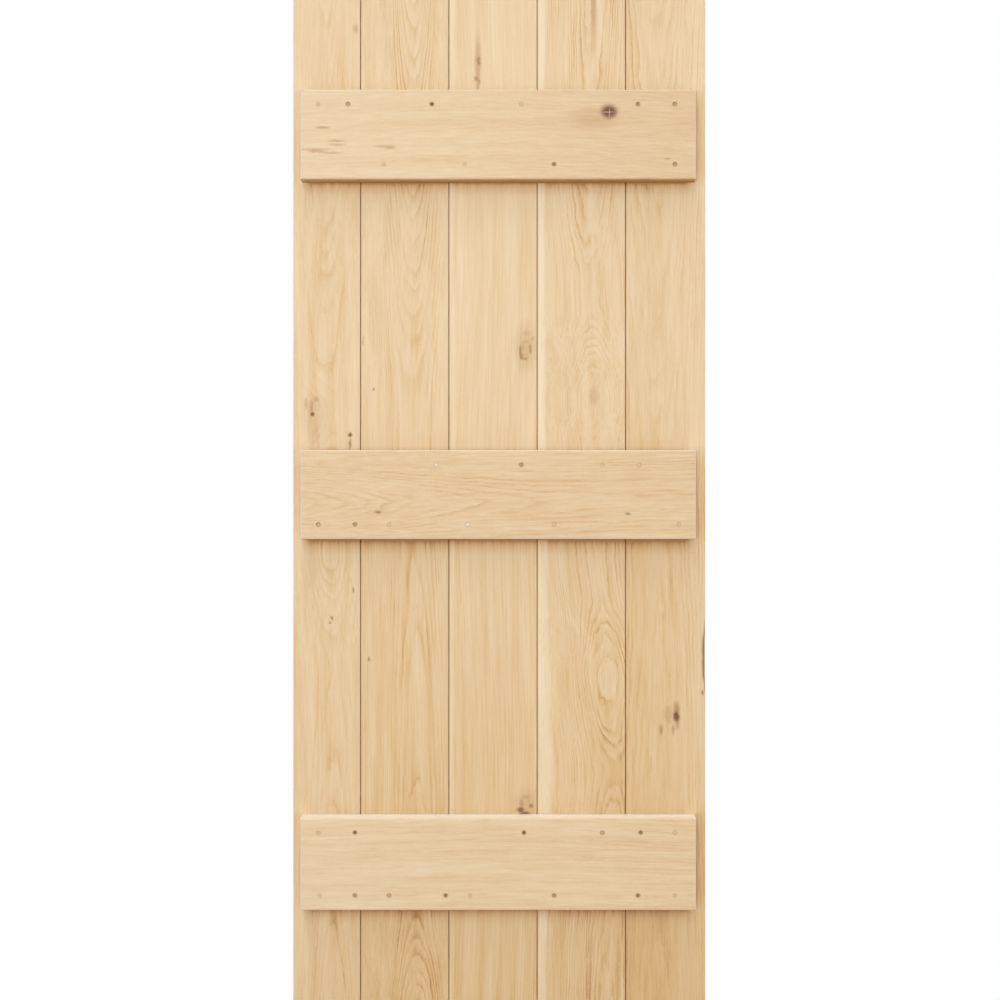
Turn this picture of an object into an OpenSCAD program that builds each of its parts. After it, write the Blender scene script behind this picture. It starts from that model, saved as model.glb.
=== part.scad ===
// Ledged door leaf in solid oak: five upright tongue-and-groove boards of different widths, held
// together by three ledges that are nailed on across them. The nail heads are punched below the
// face of the ledges, and some of the holes are stopped with filler.
// Millimetres. +Z is up, the ledges face -Y, and +X is to the right as seen from the ledge side.
// The origin is on the floor, under the middle of the leaf's box.

/* [Leaf] */
// Width of the leaf over its two outer boards
leaf_w = 762; // [610:1:915]
// Height of the leaf
leaf_h = 1981; // [1829:1:2134]

/* [Boards] */
// Thickness of the boards
board_t = 22; // [18:0.5:28]
// Width of the left outer board, up to the middle of its joint
left_board_w = 124.5; // [95:0.5:160]
// Width of the right outer board, up to the middle of its joint
right_board_w = 147.5; // [110:0.5:175]
// Gap that shows between two boards
joint_gap = 1.2; // [0.6:0.1:2.5]
// Radius of the eased long edges of the boards
board_arris_r = 1; // [0.4:0.1:2]
// Radius of the eased ends of the boards
board_end_r = 1.5; // [0.5:0.1:3]

/* [Tongue and groove] */
// Thickness of the tongue
tongue_t = 7; // [5:0.5:9]
// Reach of the tongue past the shoulder of its board
tongue_l = 9; // [6:0.5:12]
// Chamfer on the two edges of the tongue
tongue_chamfer = 1; // [0.4:0.1:2]
// Clearance on each side of the tongue
tongue_side_clear = 0.15; // [0.05:0.05:0.4]
// Clearance between the tongue and the floor of its groove
tongue_end_clear = 1; // [0.4:0.1:2]

/* [Wane on the right edge] */
// Length of the waney strip, where the edge of the log shows
wane_l = 140; // [60:1:200]
// Width that the strip takes off the face of the board
wane_w = 6; // [2:0.5:8]
// Height of the middle of the strip
wane_z = 700; // [500:1:840]

/* [Ledges] */
// Thickness of the ledges
ledge_t = 28; // [22:0.5:35]
// Height of the top ledge's face
top_ledge_h = 164; // [140:1:190]
// Height of the middle ledge's face
middle_ledge_h = 163; // [140:1:190]
// Height of the bottom ledge's face
bottom_ledge_h = 169; // [140:1:190]
// Distance from the top of the leaf down to the top ledge
top_margin = 240; // [150:1:300]
// Height of the middle ledge's centre line
middle_ledge_z = 1000; // [900:1:1100]
// Distance from the bottom of the leaf up to the bottom ledge
bottom_margin = 240; // [150:1:300]
// Set-back of the ledges from the leaf's left edge
ledge_inset_left = 17; // [8:0.5:30]
// Set-back of the ledges from the leaf's right edge
ledge_inset_right = 21; // [8:0.5:30]
// Radius of the rounded edges round the face of a ledge
ledge_arris_r = 3; // [1:0.5:6]

/* [Nails] */
// Diameter of the lost head
nail_head_d = 6; // [4:0.1:8]
// Depth of the lost head, down to where it meets the shank
nail_head_h = 2.6; // [1.5:0.1:5]
// Rim of the lost head, before it tapers
nail_rim_h = 0.8; // [0.3:0.1:1.4]
// Diameter of the shank
nail_shank_d = 3.4; // [2.5:0.1:3.9]
// Length of the pointed tip
nail_tip_l = 5; // [3:0.5:8]
// Depth to which the heads are punched below the face of the ledge
nail_punch_d = 2; // [1:0.1:4]
// Wood that is left between the tip and the back of the boards
nail_tip_cover = 3; // [1:0.5:6]
// Distance of the nail rows from the top and bottom edges of a ledge
nail_row_edge = 27; // [18:0.5:40]
// Step in which the nails are set out along a row, from the edges of their boards
nail_step = 5; // [4:0.1:6]

/* [Hidden] */
$fn = 48;
// Extra reach of a cut past the face that it opens
cut_over = 1;
// Shortest overlap of solids that are one piece
weld = 1;

leaf_t = board_t + ledge_t;
back_y = leaf_t / 2;
board_face_y = back_y - board_t;
ledge_face_y = -leaf_t / 2;
tongue_y = back_y - board_t / 2;
groove_d = tongue_l - joint_gap + tongue_end_clear;
groove_t = tongue_t + 2 * tongue_side_clear;

board_count = 5;
last_board = board_count - 1;
// The inner boards share the width that the two outer ones leave, planed to a whole tenth of a
// millimetre, and the right outer board takes up what is left over
planed_to = 0.1;
inner_board_w =
    round((leaf_w - left_board_w - right_board_w) / (board_count - 2) / planed_to) * planed_to;
// Middle of the joint to the left of board i, or the leaf's own edge for the outermost ones
function joint_x(i) =
    i <= 0 ? -leaf_w / 2
    : i > last_board ? leaf_w / 2
    : -leaf_w / 2 + left_board_w + (i - 1) * inner_board_w;
// Shoulders of board i, half a gap back from its joints
function board_left(i) = joint_x(i) + (i > 0 ? joint_gap / 2 : 0);
function board_right(i) = joint_x(i + 1) - (i < last_board ? joint_gap / 2 : 0);

ledge_left = -leaf_w / 2 + ledge_inset_left;
ledge_right = leaf_w / 2 - ledge_inset_right;
// Each ledge: height of its lower edge, height of its face
TOP = [leaf_h - top_margin - top_ledge_h, top_ledge_h];
MIDDLE = [middle_ledge_z - middle_ledge_h / 2, middle_ledge_h];
BOTTOM = [bottom_margin, bottom_ledge_h];

// Each nail: its board from the left, the edge of that board that it is set out from, the
// steps in from that edge, its row, and what stops the hole
LEFT = -1;
RIGHT = 1;
UPPER = 1;
LOWER = -1;
OPEN = 0;
STOPPED = 1;
WHITE = 2;
TOP_NAILS = [
    [0, LEFT, 10, UPPER, STOPPED], [0, RIGHT, 4, UPPER, OPEN],
    [1, RIGHT, 6, UPPER, OPEN], [1, LEFT, 9, LOWER, STOPPED],
    [2, RIGHT, 6, UPPER, STOPPED], [2, LEFT, 6, LOWER, STOPPED],
    [3, LEFT, 6, LOWER, OPEN],
    [4, LEFT, 4, UPPER, OPEN], [4, RIGHT, 12, UPPER, OPEN], [4, RIGHT, 12, LOWER, OPEN],
];
MIDDLE_NAILS = [
    [0, LEFT, 10, LOWER, OPEN], [0, RIGHT, 1.5, LOWER, OPEN],
    [1, RIGHT, 4.5, UPPER, WHITE], [1, LEFT, 11, LOWER, STOPPED],
    [2, RIGHT, 6, UPPER, OPEN], [2, LEFT, 7, LOWER, WHITE],
    [3, RIGHT, 9, UPPER, STOPPED], [3, LEFT, 6, LOWER, STOPPED],
    [4, LEFT, 4.5, UPPER, STOPPED], [4, RIGHT, 10.5, LOWER, STOPPED],
];
BOTTOM_NAILS = [
    [0, LEFT, 10, UPPER, STOPPED], [0, RIGHT, 1.5, UPPER, OPEN],
    [0, LEFT, 10.5, LOWER, STOPPED], [0, RIGHT, 1.5, LOWER, OPEN],
    [1, LEFT, 11, LOWER, OPEN], [1, RIGHT, 1, LOWER, OPEN],
    [2, RIGHT, 5, UPPER, OPEN], [2, LEFT, 8, LOWER, STOPPED],
    [3, RIGHT, 9, UPPER, OPEN], [3, LEFT, 6, LOWER, OPEN],
    [4, LEFT, 5, UPPER, OPEN], [4, RIGHT, 12, UPPER, STOPPED],
    [4, LEFT, 4, LOWER, OPEN], [4, RIGHT, 12, LOWER, STOPPED],
];
function nail_x(n) =
    n[1] == LEFT ? joint_x(n[0]) + n[2] * nail_step : joint_x(n[0] + 1) - n[2] * nail_step;
function nail_z(n, ledge) =
    n[3] == UPPER ? ledge[0] + ledge[1] - nail_row_edge : ledge[0] + nail_row_edge;

// Length of a nail, from the top of its head to its tip
nail_l = leaf_t - nail_punch_d - nail_tip_cover;

// Rectangle from corner low to corner high, with all four corners rounded
module eased_rectangle(low, high, r) {
    size = high - low;
    translate(low + [r, 0])
        square([size.x - 2 * r, size.y]);
    translate(low + [0, r])
        square([size.x, size.y - 2 * r]);
    for (x = [low.x + r, high.x - r], y = [low.y + r, high.y - r])
        translate([x, y])
            circle(r);
}

// Rectangle from corner low to corner high, with the two corners on its low Y side rounded
module face_eased_rectangle(low, high, r) {
    size = high - low;
    translate(low + [r, 0])
        square([size.x - 2 * r, size.y]);
    translate(low + [0, r])
        square([size.x, size.y - r]);
    for (x = [low.x + r, high.x - r])
        translate([x, low.y + r])
            circle(r);
}

// Carries a profile drawn in Y and Z along X, from one place to another
module along_x(from, to) {
    translate([from, 0, 0])
        rotate([90, 0, 90])
            linear_extrude(to - from)
                children();
}

// Half outline of a nail, turned about its own axis with the head's top at zero and the tip below
module nail_profile() {
    polygon([
        [0, 0],
        [nail_head_d / 2, 0],
        [nail_head_d / 2, -nail_rim_h],
        [nail_shank_d / 2, -nail_head_h],
        [nail_shank_d / 2, nail_tip_l - nail_l],
        [0, -nail_l],
    ]);
}

// Puts its children, made with the head's top at zero and the shank below, into a nail's place
module at_nail(n, ledge, depth) {
    translate([nail_x(n), ledge_face_y + depth, nail_z(n, ledge)])
        rotate([90, 0, 0])
            children();
}

module nail() {
    rotate_extrude()
        nail_profile();
}

module nails(list, ledge) {
    for (n = list)
        at_nail(n, ledge, nail_punch_d)
            nail();
}

// The punched hole above a nail's head, open to the face of the ledge
module punched_hole(over) {
    cylinder(d = nail_head_d, h = nail_punch_d + over);
}

module filler(list, ledge, stop) {
    for (n = list)
        if (n[4] == stop)
            at_nail(n, ledge, nail_punch_d)
                punched_hole(0);
}

// What the nails of one ledge take out of the wood between two places along X
module nail_cuts(list, ledge, from, to) {
    for (n = list)
        if (nail_x(n) > from - nail_head_d && nail_x(n) < to + nail_head_d)
            at_nail(n, ledge, nail_punch_d) {
                nail();
                punched_hole(cut_over);
            }
}

// Cross section of board i in X and Y, with its groove on the left and its tongue on the right
module board_section(i) {
    difference() {
        union() {
            eased_rectangle([board_left(i), board_face_y], [board_right(i), back_y], board_arris_r);
            if (i < last_board)
                translate([board_right(i), tongue_y])
                    tongue_section();
        }
        if (i > 0)
            translate([board_left(i) - cut_over, tongue_y - groove_t / 2])
                square([groove_d + cut_over, groove_t]);
    }
}

// Tongue beyond a shoulder at X zero, rooted a little way into its board
module tongue_section() {
    half = tongue_t / 2;
    polygon([
        [-weld, -half],
        [tongue_l - tongue_chamfer, -half],
        [tongue_l, -half + tongue_chamfer],
        [tongue_l, half - tongue_chamfer],
        [tongue_l - tongue_chamfer, half],
        [-weld, half],
    ]);
}

// A long scoop across the front right edge, as deep as its arc over the strip's length
module wane_cut() {
    depth = wane_w / sqrt(2);
    scoop_r = wane_l * wane_l / (8 * depth) + depth / 2;
    translate([leaf_w / 2, board_face_y, wane_z])
        rotate([0, 0, -45])
            translate([scoop_r - depth, 0, 0])
                rotate([90, 0, 0])
                    cylinder(r = scoop_r, h = 4 * wane_w, center = true, $fn = 360);
}

module board(i) {
    difference() {
        intersection() {
            linear_extrude(leaf_h)
                board_section(i);
            along_x(board_left(i) - cut_over, board_right(i) + tongue_l + cut_over)
                eased_rectangle([board_face_y, 0], [back_y, leaf_h], board_end_r);
        }
        nail_cuts(TOP_NAILS, TOP, board_left(i), board_right(i) + tongue_l);
        nail_cuts(MIDDLE_NAILS, MIDDLE, board_left(i), board_right(i) + tongue_l);
        nail_cuts(BOTTOM_NAILS, BOTTOM, board_left(i), board_right(i) + tongue_l);
        if (i == last_board)
            wane_cut();
    }
}

// A ledge has its ends and its long edges rounded towards the face, and its back left square
module ledge(ledge, list) {
    difference() {
        intersection() {
            translate([0, 0, ledge[0]])
                linear_extrude(ledge[1])
                    face_eased_rectangle(
                        [ledge_left, ledge_face_y], [ledge_right, board_face_y], ledge_arris_r);
            along_x(ledge_left, ledge_right)
                rotate(-90)
                    face_eased_rectangle(
                        [-ledge[0] - ledge[1], ledge_face_y], [-ledge[0], board_face_y], ledge_arris_r);
        }
        nail_cuts(list, ledge, ledge_left, ledge_right);
    }
}

module left_edge_board() { color("#e8cca3") board(0); }
module left_inner_board() { color("#e4c79c") board(1); }
module middle_board() { color("#e9cea5") board(2); }
module right_inner_board() { color("#e6ca9f") board(3); }
module right_edge_board() { color("#e3c69b") board(4); }

module top_ledge() { color("#e6cca7") ledge(TOP, TOP_NAILS); }
module middle_ledge() { color("#e2c49e") ledge(MIDDLE, MIDDLE_NAILS); }
module bottom_ledge() { color("#e2c8a1") ledge(BOTTOM, BOTTOM_NAILS); }

module top_ledge_nails() { color("#76624a") nails(TOP_NAILS, TOP); }
module middle_ledge_nails() { color("#76624a") nails(MIDDLE_NAILS, MIDDLE); }
module bottom_ledge_nails() { color("#76624a") nails(BOTTOM_NAILS, BOTTOM); }

module top_ledge_filler() { color("#cdae82") filler(TOP_NAILS, TOP, STOPPED); }
module middle_ledge_filler() { color("#cdae82") filler(MIDDLE_NAILS, MIDDLE, STOPPED); }
module middle_ledge_white_filler() { color("#f2e6d4") filler(MIDDLE_NAILS, MIDDLE, WHITE); }
module bottom_ledge_filler() { color("#cdae82") filler(BOTTOM_NAILS, BOTTOM, STOPPED); }

left_edge_board();
left_inner_board();
middle_board();
right_inner_board();
right_edge_board();
top_ledge();
middle_ledge();
bottom_ledge();
top_ledge_nails();
middle_ledge_nails();
bottom_ledge_nails();
top_ledge_filler();
middle_ledge_filler();
middle_ledge_white_filler();
bottom_ledge_filler();
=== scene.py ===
import bpy
import numpy as np
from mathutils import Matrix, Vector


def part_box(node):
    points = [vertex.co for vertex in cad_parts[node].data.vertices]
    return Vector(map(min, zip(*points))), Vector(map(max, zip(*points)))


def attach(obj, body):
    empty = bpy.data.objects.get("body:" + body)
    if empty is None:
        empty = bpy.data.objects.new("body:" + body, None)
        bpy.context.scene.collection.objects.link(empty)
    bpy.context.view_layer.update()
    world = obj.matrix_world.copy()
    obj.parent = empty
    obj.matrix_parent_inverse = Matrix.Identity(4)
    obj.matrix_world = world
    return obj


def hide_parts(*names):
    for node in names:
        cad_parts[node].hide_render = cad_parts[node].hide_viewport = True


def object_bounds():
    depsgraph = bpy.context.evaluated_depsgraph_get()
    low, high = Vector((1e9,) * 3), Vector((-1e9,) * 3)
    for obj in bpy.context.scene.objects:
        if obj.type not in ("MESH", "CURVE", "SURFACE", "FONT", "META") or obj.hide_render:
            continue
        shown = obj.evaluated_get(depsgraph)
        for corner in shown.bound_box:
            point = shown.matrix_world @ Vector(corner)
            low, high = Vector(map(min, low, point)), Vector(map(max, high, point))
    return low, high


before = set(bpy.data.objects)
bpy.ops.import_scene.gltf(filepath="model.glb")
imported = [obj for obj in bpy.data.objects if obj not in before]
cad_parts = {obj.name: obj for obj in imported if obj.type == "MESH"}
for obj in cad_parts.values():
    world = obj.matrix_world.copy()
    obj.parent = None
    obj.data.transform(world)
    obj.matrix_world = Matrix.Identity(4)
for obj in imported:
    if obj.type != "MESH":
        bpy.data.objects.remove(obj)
cad_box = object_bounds()

# Boards: five upright oak boards, planed, sanded and left bare. Each has a groove down its left edge
# and a tongue down its right one, with a fine open joint between the faces so that the wood can move.
# The right-hand board was sawn close to the bark and keeps a short scooped strip of wane.
MM = 0.001
BOARD_ARRIS = 1.0 * MM
BOARD_END_EASE = 1.5 * MM
END_ROWS = 5
BOARD_ROW_STEP = 8.0 * MM
BOARD_COLUMNS = 40
COLUMN_CROWDING = 0.8
TRIMMED_EDGE_COLUMNS = np.linspace(2, 9, 8) * MM
TONGUE_REACH = 9.0 * MM
TONGUE_HALF = 3.5 * MM
TONGUE_CHAMFER = 1.0 * MM
GROOVE_DEPTH = 8.8 * MM
GROOVE_HALF = 3.65 * MM
BOARD_END_AXIS = 2
SQUARE_TO_AXIS = 0.9995

# Wane: a scoop with a ragged edge, given as the length and start of two waves, and the brown of its bark.
WANE_WIDTH = 6.0 * MM
WANE_LENGTH = 140.0 * MM
WANE_HEIGHT = 700.0 * MM
WANE_RAGGED = 0.5 * MM
WANE_WAVES = ((5.0 * MM, 0.0), (13.0 * MM, 1.0))
WANE_BROWN = 0.85
WANE_EDGE = 4.0 * MM
WANE_EDGE_BROWN = 0.4

# Painted shade on the boards round the ledges, and dirt in the joints. The first table gives, for the top,
# the middle and the bottom ledge, how much deeper a painted shadow makes the wood just below it, how far
# that reaches, and how brown its edge is. The wood beside the ends of a ledge is deeper too, a painted
# shade, and just above each ledge lies a grey painted shade. The joints hold dirt. The last height is
# where a painted shade starts to deepen the wood towards the foot of the leaf.
PAINTED_SHADE_BELOW = ((0.9, 6.0 * MM, 0.0), (1.0, 9.0 * MM, 0.2), (1.2, 7.0 * MM, 2.0))
PAINTED_SHADE_ENDS = 18.0 * MM
SHADE_REACH = 5.0 * MM
SHADE_MOST = 0.6
PAINTED_SHADE_LEFT = 0.06
PAINTED_SHADE_RIGHT = 0.26
BESIDE_REACH = 40.0 * MM
BESIDE_CORNER = 0.3
PAINTED_SHADE_ABOVE = 0.44
PAINTED_SHADE_ABOVE_REACH = 21.0 * MM
NEAR_LEDGE_ROWS = np.array([0, 3, 6, 10, 15, 21, 28, 36, 46]) * MM
JOINT_DIRT = 0.35
JOINT_DIRT_REACH = 2.0 * MM
PAINTED_FOOT_SHADE_HEIGHT = 1500.0 * MM

# Each board's own tree, in mm from the foot and the middle of the leaf. depth: how deep its colour is,
# from sapwood at 0 to the darkest ring at 1; foot: how much deeper a painted shade makes it towards the
# foot of the leaf.
# ring: width of a year's ring; contrast: how strong its line is; bold: (height, factor) of that up the
# board; figure: how far to each side of the pith the rings show; ripple: how much they waver. drift: how
# much the colour drifts; tint: how much deeper it is at the left and the right edge. sapwood: how pale a
# band down the left edge is, and (height, width) of it. grain: (height, across, depth) of the pith behind
# the face: where the depth grows upwards the rings make arches, where it shrinks they make cups, and round
# a low point they close to ovals. knots: (across, height, half width, half height), and how strong the
# dark heart and the stain round it are.
BOARDS = {
    "left_edge_board": {
        "depth": 0.29, "foot": 0.11, "ring": 4.0, "contrast": 0.5, "figure": 40, "ripple": 1.2,
        "drift": 0.5,
        "bold": [(0, 1.3), (400, 1.2), (640, 1.3), (900, 1.25), (1270, 1.15), (1540, 1), (1981, 1.1)],
        "grain": [
            (0, -307, 40), (260, -307, 52), (480, -307, 62), (600, -307, 65), (690, -308, 66),
            (790, -310, 58), (900, -312, 48), (1000, -316, 58), (1100, -321, 70), (1160, -322, 72),
            (1325, -322, 68), (1600, -322, 48), (1981, -322, 26),
        ],
        "knots": [
            (-345.5, 1149, 3.3, 4.1, 0.8, 0.6), (-347, 1163, 2.8, 10, 0, 0.6), (-357, 1168, 2.4, 8, 0, 0.45),
            (-339, 1176, 5, 5, 0, 0.45), (-338, 1142, 15, 32, 0, 0.2), (-276, 1110.5, 3.1, 3.5, 0.9, 0.6),
            (-276, 1094, 2.2, 8, 0.45, 0.4), (-270, 824, 1.8, 5, 0.55, 0.2), (-309.5, 772, 2.6, 3, 0.6, 0.4),
            (-312.5, 763, 1.8, 2, 0.4, 0.3), (-266, 1862, 3.4, 6, 0, 0.4),
        ],
    },
    "left_inner_board": {
        "depth": 0.28, "foot": 0.24, "ring": 3.3, "contrast": 1.0, "figure": 50, "ripple": 1.0,
        "drift": 0.45,
        "bold": [(0, 1.1), (640, 1.3), (900, 1.15), (1270, 1), (1540, 1.2), (1905, 1.35), (1981, 1.35)],
        "grain": [
            (0, -152, 30), (100, -152, 41), (200, -153, 52), (300, -153, 57), (480, -153, 61),
            (640, -154, 64), (850, -157, 69), (1050, -160, 73), (1200, -160, 72), (1325, -160, 66),
            (1560, -160, 50), (1800, -159, 34), (1981, -158, 20),
        ],
        "knots": [
            (-252, 1285, 1.3, 8, 0.3, 0.2), (-232, 1195, 2.0, 2.6, 0.55, 0.3),
            (-241, 696, 1.8, 3.6, 0.4, 0.4),
        ],
    },
    "middle_board": {
        "depth": 0.23, "foot": 0.28, "ring": 5.0, "contrast": 0.3, "figure": 400, "ripple": 1.2,
        "drift": 0.5,
        "sapwood": (0.16, [(0, 6), (1981, 12)]),
        "grain": [(0, -238, 60), (500, -226, 60), (1000, -236, 58), (1500, -224, 62), (1981, -236, 60)],
        "knots": [
            (-39.5, 1800, 4.0, 38, 0.06, 0.5), (-38, 1802, 3.2, 8, 0.5, 0.4), (-42, 1769, 3.6, 4.5, 0.4, 0.4),
            (-37, 1764, 2.2, 5, 0.35, 0.3), (-40, 1752, 2.0, 13, 0.2, 0.3), (49, 1272, 14, 30, 0, 0.32),
            (46, 1263, 8, 13, 0, 0.42), (39, 1265, 2.3, 11, 0.2, 0.75), (41, 1256, 3, 6, 0.3, 0.7),
            (47, 1251.5, 6, 2.4, 0.1, 0.65), (57, 1270, 2.3, 9, 0.15, 0.65), (48, 1283, 7, 2.8, 0, 0.55),
            (44, 1274, 2, 6, 0.1, 0.6), (50, 1298, 9, 5, 0, 0.4), (61, 1288, 3.6, 5, 0, 0.45),
            (49, 425, 14, 20, 0, 0.28), (39.5, 417, 6.5, 4.5, 0.7, 0.6), (47, 411, 9, 3, 0.65, 0.5),
            (41.5, 428, 3.4, 8, 0, 0.6), (48, 441, 6, 3.4, 0, 0.5), (56, 437, 2.4, 5.5, 0, 0.4),
            (58.5, 424.5, 3.6, 3.8, 0.4, 0.6),
        ],
    },
    "right_inner_board": {
        "depth": 0.27, "foot": 0.22, "ring": 3.7, "contrast": 1.0, "figure": 90, "ripple": 2.8,
        "drift": 0.5,
        "bold": [
            (0, 1.8), (180, 1.7), (330, 1.1), (900, 1), (1080, 0.6), (1300, 0.5), (1450, 1), (1981, 1.5),
        ],
        "sapwood": (0.3, [(0, 14), (138, 15), (535, 28), (757, 20), (990, 16), (1322, 13), (1981, 14)]),
        "grain": [
            (0, 197, 30), (150, 199, 34), (330, 207, 44), (508, 210, 54), (585, 203, 47), (661, 200, 40),
            (735, 198, 48), (800, 190, 56), (880, 180, 56), (1000, 176, 53), (1105, 175, 47),
            (1175, 175, 34), (1246, 173, 47), (1329, 170, 62), (1400, 168, 63), (1542, 166, 53),
            (1800, 172, 42), (1981, 176, 36),
        ],
        "knots": [
            (174.5, 1915, 4, 55, 0.08, 0.5), (171, 1890, 1.8, 45, 0, 0.35), (174, 1182, 6, 13, 0, 0.35),
            (162, 70, 1.6, 60, 0, 0.4), (168, 105, 1.4, 50, 0, 0.35), (204, 20, 2.4, 40, 0, 0.4),
            (219, 100, 1.8, 50, 0, 0.3),
        ],
    },
    "right_edge_board": {
        "depth": 0.28, "foot": 0.31, "ring": 4.0, "contrast": 0.52, "figure": 400, "ripple": 2.2,
        "drift": 0.35, "tint": (0.05, -0.1),
        "bold": [(0, 1), (640, 1), (880, 1.8), (1050, 1.4), (1270, 1), (1540, 1.8), (1981, 1.8)],
        "grain": [(0, 292, 90), (600, 294, 104), (1000, 290, 108), (1500, 288, 96), (1981, 288, 80)],
        "knots": [
            (327.5, 590, 5.2, 9.5, 0.9, 0.6), (327.5, 602, 4.6, 11, 0, 0.75), (314, 594, 7, 11, 0, 0.3),
            (329, 577, 3.4, 8, 0, 0.5), (299, 565, 3, 8, 0.1, 0.5), (321.5, 565, 2.2, 8, 0.1, 0.5),
            (376, 634, 2.4, 4.5, 0.5, 0.3),
        ],
    },
}
SAWN_END = {
    "depth": 0.3, "ring": 3.2, "contrast": 1.0, "figure": 400, "ripple": 1.0, "drift": 0.5, "knots": [],
}
EVENLY_BOLD = [(0, 1)]
EVEN_TINT = (0, 0)
SAPWOOD_EDGE = 6.0
TREE_SPACING = 3000


def through(stations, at):
    """Smooth curve through rows of (place, values): cubic Hermite spans, whose slope at each row is that
    of the parabola through it and its two neighbours. Returns one row of values for each place asked."""
    table = np.array(stations, float)
    place, value = table[:, 0], table[:, 1:]
    slope = np.gradient(value, place, axis=0)
    k = np.clip(np.searchsorted(place, at) - 1, 0, len(place) - 2)
    span = (place[k + 1] - place[k])[:, None]
    t = (at[:, None] - place[k][:, None]) / span
    rise = value[k + 1] - value[k]
    start = t * (1 - t) ** 2 * slope[k] * span
    end = t ** 2 * (t - 1) * slope[k + 1] * span
    return value[k] + (3 - 2 * t) * t ** 2 * rise + start + end


def arc(x, y, radius, start, end, steps=4):
    """Points on a circle: its centre plus the radius times the cosine and sine of evenly spaced angles."""
    turn = np.radians(np.linspace(start, end, steps + 1))
    return np.stack([x + radius * np.cos(turn), y + radius * np.sin(turn)], axis=1)


def board_section(left, right, front, back, tongued, grooved):
    """Closed outline of a board in X and Y, anticlockwise from its front left arris: face, right edge
    with its tongue, back, left edge with its groove. The columns on the faces crowd towards the edges,
    by taking a share of one sine wave from an even count."""
    r = BOARD_ARRIS
    middle = (front + back) / 2
    even = np.linspace(0, 1, BOARD_COLUMNS)
    crowded = even - COLUMN_CROWDING * np.sin(2 * np.pi * even) / (2 * np.pi)
    across = left + r + (right - left - 2 * r) * crowded
    face = np.stack([across, np.full_like(across, front)], axis=1)
    rear = np.stack([across[::-1], np.full_like(across, back)], axis=1)
    reach = right + TONGUE_REACH
    tongue = np.array([
        (right, middle - TONGUE_HALF), (reach - TONGUE_CHAMFER, middle - TONGUE_HALF),
        (reach, middle - TONGUE_HALF + TONGUE_CHAMFER), (reach, middle + TONGUE_HALF - TONGUE_CHAMFER),
        (reach - TONGUE_CHAMFER, middle + TONGUE_HALF), (right, middle + TONGUE_HALF),
    ])
    trimmed = np.stack([np.full_like(TRIMMED_EDGE_COLUMNS, right), front + TRIMMED_EDGE_COLUMNS], axis=1)
    floor = left + GROOVE_DEPTH
    groove = np.array([
        (left, middle + GROOVE_HALF), (floor, middle + GROOVE_HALF),
        (floor, middle - GROOVE_HALF), (left, middle - GROOVE_HALF),
    ])
    return np.concatenate([
        face, arc(right - r, front + r, r, -90, 0)[1:], tongue if tongued else trimmed,
        arc(right - r, back - r, r, 0, 90)[:-1], rear, arc(left + r, back - r, r, 90, 180)[1:],
        groove[:len(groove) * grooved], arc(left + r, front + r, r, 180, 270)[:-1],
    ])


def board_mesh(section, front, back, height, more_rows):
    """The section carried up the board in even rows and the ones asked for. Towards each end the rows
    follow a quarter circle, and the section is clipped in Y to what the circle leaves, which eases the
    end. The ends are filled."""
    turn = np.linspace(0, np.pi / 2, END_ROWS)
    rise = BOARD_END_EASE * (1 - np.cos(turn))
    inset = BOARD_END_EASE * (1 - np.sin(turn))
    rows = round(height / BOARD_ROW_STEP)
    plain = np.linspace(BOARD_END_EASE, height - BOARD_END_EASE, rows)[1:-1]
    plain = np.union1d(plain, more_rows)
    z = np.concatenate([rise, plain, height - rise[::-1]])
    clip = np.concatenate([inset, np.zeros_like(plain), inset[::-1]])[:, None]
    y = np.clip(section[None, :, 1], front + clip, back - clip)
    x = np.broadcast_to(section[None, :, 0], y.shape)
    points = np.stack([x, y, np.broadcast_to(z[:, None], y.shape)], axis=-1)
    count = len(section)
    index = np.arange(len(z) * count).reshape(len(z), count)
    ahead = np.roll(index, -1, axis=1)
    quads = np.stack([index[:-1], ahead[:-1], ahead[1:], index[1:]], axis=-1).reshape(-1, 4)
    faces = quads.tolist() + [index[0, ::-1].tolist(), index[-1].tolist()]
    return points.reshape(-1, 3), faces


def cut_wane(points, corner_x, corner_y):
    """Scoops the front right arris: along the line halfway between face and edge, nothing stands further
    out than a parabola in height allows, give or take the product of two sine waves. Returns the moved
    points and how far each one was past it."""
    out = ((points[:, 0] - corner_x) - (points[:, 1] - corner_y)) / np.sqrt(2)
    along = (points[:, 2] - WANE_HEIGHT) / (WANE_LENGTH / 2)
    depth = WANE_WIDTH / np.sqrt(2) * (1 - along ** 2)
    waves = [np.sin(points[:, 2] / length + start) for length, start in WANE_WAVES]
    ragged = WANE_RAGGED * waves[0] * waves[1]
    past = np.where(depth > 0, out + depth + ragged, -WANE_WIDTH)
    step = np.maximum(past, 0)[:, None] * np.array([-1, 1, 0]) / np.sqrt(2)
    return points + step, past


def fading(distance, reach):
    """One at the edge of a ledge, falling off as an exponential of the distance from it, and nought on
    the other side of the edge."""
    return np.where(distance >= 0, np.exp(-np.abs(distance) / reach), 0)


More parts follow.
